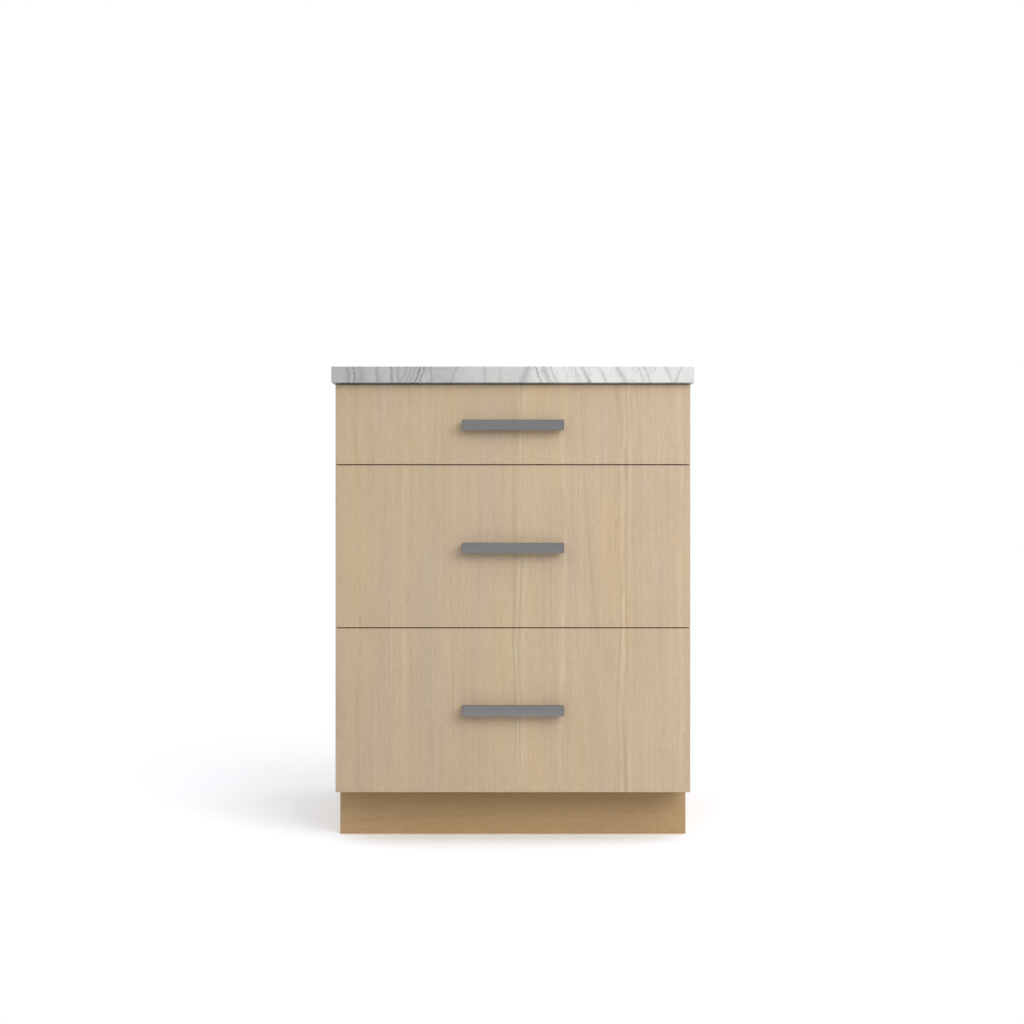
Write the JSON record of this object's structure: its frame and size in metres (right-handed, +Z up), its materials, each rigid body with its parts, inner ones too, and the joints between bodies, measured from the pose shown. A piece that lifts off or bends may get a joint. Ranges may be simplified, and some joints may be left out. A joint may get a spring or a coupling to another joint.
{
  "type": "base cabinet with drawers",
  "caption": "Floor-standing kitchen base unit with slab drawer fronts, bar pulls, a stone worktop, a recessed toe kick and dovetailed drawers on full-extension slides.",
  "frame": {"origin": "centre of the bounding box's base, on the floor", "axes": "+Z up, -Y out of the drawer fronts towards the user, +X to the right of someone facing the fronts"},
  "size_m": [0.695, 0.643, 0.918],
  "materials": {
    "front_veneer": "matt lacquered pale oak veneer, grain upright",
    "side_veneer": "matt lacquered pale oak veneer, grain upright",
    "kick_veneer": "matt lacquered oak veneer, grain level",
    "carcass_board": "clear lacquered birch plywood",
    "drawer_box_wood": "clear lacquered solid maple",
    "worktop_stone": "honed white marble with grey veins",
    "pull_metal": "satin nickel",
    "slide_steel": "bright zinc plate",
    "retainer_plastic": "moulded grey plastic",
    "screw_steel": "zinc plate",
    "bumper_rubber": "clear soft rubber"
  },
  "bodies": {
    "carcass": {"side_panel_left": "side_veneer", "side_panel_right": "side_veneer", "bottom_panel": "carcass_board", "back_panel": "carcass_board", "front_stretcher": "carcass_board", "rear_stretcher": "carcass_board", "wall_rail": "carcass_board", "lower_rail": "carcass_board", "toe_kick": "kick_veneer", "worktop": "worktop_stone", "front_bumpers": "bumper_rubber", "bottom_cabinet_rail_left": "slide_steel", "bottom_cabinet_rail_right": "slide_steel", "middle_cabinet_rail_left": "slide_steel", "middle_cabinet_rail_right": "slide_steel", "top_cabinet_rail_left": "slide_steel", "top_cabinet_rail_right": "slide_steel"},
    "bottom_slides": {"bottom_middle_rail_left": "slide_steel", "bottom_middle_rail_right": "slide_steel", "bottom_ball_retainers": "retainer_plastic"},
    "bottom_drawer": {"bottom_drawer_front": "front_veneer", "bottom_box_front": "drawer_box_wood", "bottom_box_back": "drawer_box_wood", "bottom_box_side_left": "drawer_box_wood", "bottom_box_side_right": "drawer_box_wood", "bottom_box_bottom": "drawer_box_wood", "bottom_drawer_rail_left": "slide_steel", "bottom_drawer_rail_right": "slide_steel", "bottom_pull": "pull_metal", "bottom_pull_screws": "screw_steel"},
    "middle_slides": {"middle_middle_rail_left": "slide_steel", "middle_middle_rail_right": "slide_steel", "middle_ball_retainers": "retainer_plastic"},
    "middle_drawer": {"middle_drawer_front": "front_veneer", "middle_box_front": "drawer_box_wood", "middle_box_back": "drawer_box_wood", "middle_box_side_left": "drawer_box_wood", "middle_box_side_right": "drawer_box_wood", "middle_box_bottom": "drawer_box_wood", "middle_drawer_rail_left": "slide_steel", "middle_drawer_rail_right": "slide_steel", "middle_pull": "pull_metal", "middle_pull_screws": "screw_steel"},
    "top_slides": {"top_middle_rail_left": "slide_steel", "top_middle_rail_right": "slide_steel", "top_ball_retainers": "retainer_plastic"},
    "top_drawer": {"top_drawer_front": "front_veneer", "top_box_front": "drawer_box_wood", "top_box_back": "drawer_box_wood", "top_box_side_left": "drawer_box_wood", "top_box_side_right": "drawer_box_wood", "top_box_bottom": "drawer_box_wood", "top_drawer_rail_left": "slide_steel", "top_drawer_rail_right": "slide_steel", "top_pull": "pull_metal", "top_pull_screws": "screw_steel"}
  },
  "joints": [
    {"name": "bottom_drawer_slide", "type": "slide", "parent": "carcass", "child": "bottom_drawer", "axis": [0, -1, 0], "range_m": [0, 0.55]},
    {"name": "bottom_slides_follow", "type": "slide", "parent": "carcass", "child": "bottom_slides", "axis": [0, -1, 0], "range_m": [0, 0.275]},
    {"name": "middle_drawer_slide", "type": "slide", "parent": "carcass", "child": "middle_drawer", "axis": [0, -1, 0], "range_m": [0, 0.55]},
    {"name": "middle_slides_follow", "type": "slide", "parent": "carcass", "child": "middle_slides", "axis": [0, -1, 0], "range_m": [0, 0.275]},
    {"name": "top_drawer_slide", "type": "slide", "parent": "carcass", "child": "top_drawer", "axis": [0, -1, 0], "range_m": [0, 0.55]},
    {"name": "top_slides_follow", "type": "slide", "parent": "carcass", "child": "top_slides", "axis": [0, -1, 0], "range_m": [0, 0.275]}
  ],
  "couplings": [
    {"joint": "bottom_slides_follow", "follows": "bottom_drawer_slide", "ratio": 0.5},
    {"joint": "middle_slides_follow", "follows": "middle_drawer_slide", "ratio": 0.5},
    {"joint": "top_slides_follow", "follows": "top_drawer_slide", "ratio": 0.5}
  ]
}
